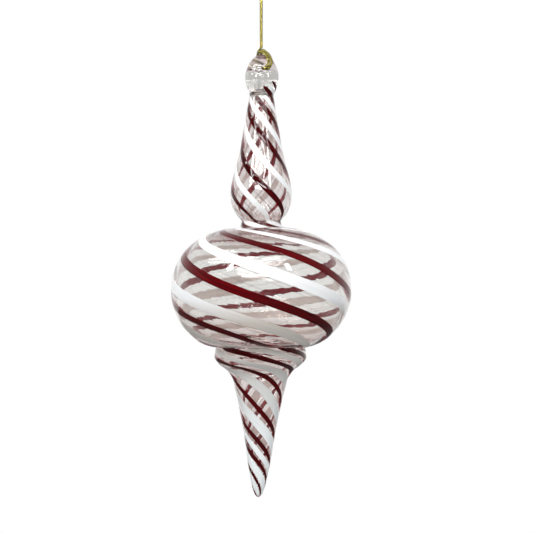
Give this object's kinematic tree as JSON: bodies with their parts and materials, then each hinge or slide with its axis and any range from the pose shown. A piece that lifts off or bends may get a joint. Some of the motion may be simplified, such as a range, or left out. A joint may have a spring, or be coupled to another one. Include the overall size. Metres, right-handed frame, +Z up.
{
  "type": "glass finial ornament",
  "caption": "Blown glass finial ornament with twisted colour canes, a round bulb, a collared spike and a loop of gold cord to hang it by.",
  "frame": {"origin": "the point inside the top of the cord's loop where a hook bears, on the ornament's axis", "axes": "+Z up along the ornament's axis, from the tip of the spike to the eye; the pictured front faces -Y; +X is to the right in the picture"},
  "size_m": [0.0729, 0.073, 0.2269],
  "materials": {
    "clear_glass": "clear blown glass, fire polished, with a faint warm grey tint",
    "white_glass": "opaque white glass cane, fused and glossy",
    "red_glass": "deep red glass cane, fused and glossy",
    "gold_thread": "three-ply metallic gold cord"
  },
  "bodies": {
    "root": {"blown_glass": "clear_glass", "white_cane_1": "white_glass", "white_cane_2": "white_glass", "white_cane_3": "white_glass", "white_cane_4": "white_glass", "red_cane_1": "red_glass", "red_cane_2": "red_glass", "red_cane_3": "red_glass", "red_cane_4": "red_glass", "hanging_cord": "gold_thread", "eye_strands": "gold_thread", "eye_knot": "gold_thread", "loop_knot": "gold_thread", "hanging_loop": "gold_thread"}
  },
  "joints": []
}
